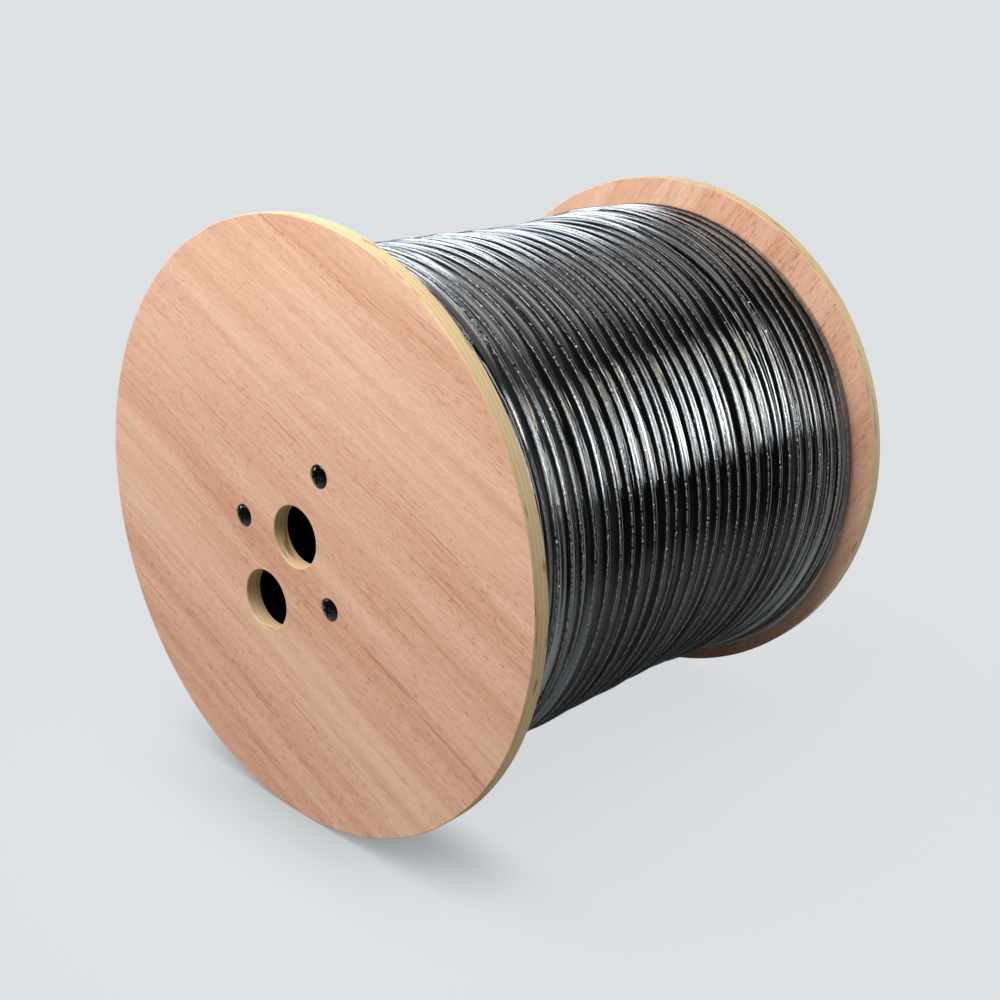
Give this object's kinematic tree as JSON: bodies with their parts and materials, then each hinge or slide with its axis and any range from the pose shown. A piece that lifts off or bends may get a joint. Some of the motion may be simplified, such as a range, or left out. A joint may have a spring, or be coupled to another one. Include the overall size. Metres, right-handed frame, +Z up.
{
  "type": "wooden cable drum",
  "caption": "Plywood cable drum full of round black cable under clear stretch film, lying on its flange rims.",
  "frame": {"origin": "middle of the spindle hole's axis, halfway between the two flanges' outer faces", "axes": "+Y along the spindle axis from the near flange (bolt heads) to the far flange (tee nuts), +Z up, +X to the right seen along +Y"},
  "size_m": [0.35, 0.3395, 0.35],
  "materials": {
    "plywood": "bare rotary-cut plywood",
    "core_plastic": "black plastic",
    "cable_jacket": "glossy black jacket",
    "stretch_film": "clear stretch film",
    "black_steel": "black, glossy",
    "zinc_steel": "zinc plated"
  },
  "bodies": {
    "root": {"near_flange": "plywood", "far_flange": "plywood", "barrel": "core_plastic", "cable_winding": "cable_jacket", "film_wrap": "stretch_film", "tie_bolt_1": "black_steel", "tie_bolt_2": "black_steel", "tie_bolt_3": "black_steel", "tee_nut_1": "zinc_steel", "tee_nut_2": "zinc_steel", "tee_nut_3": "zinc_steel"}
  },
  "joints": []
}
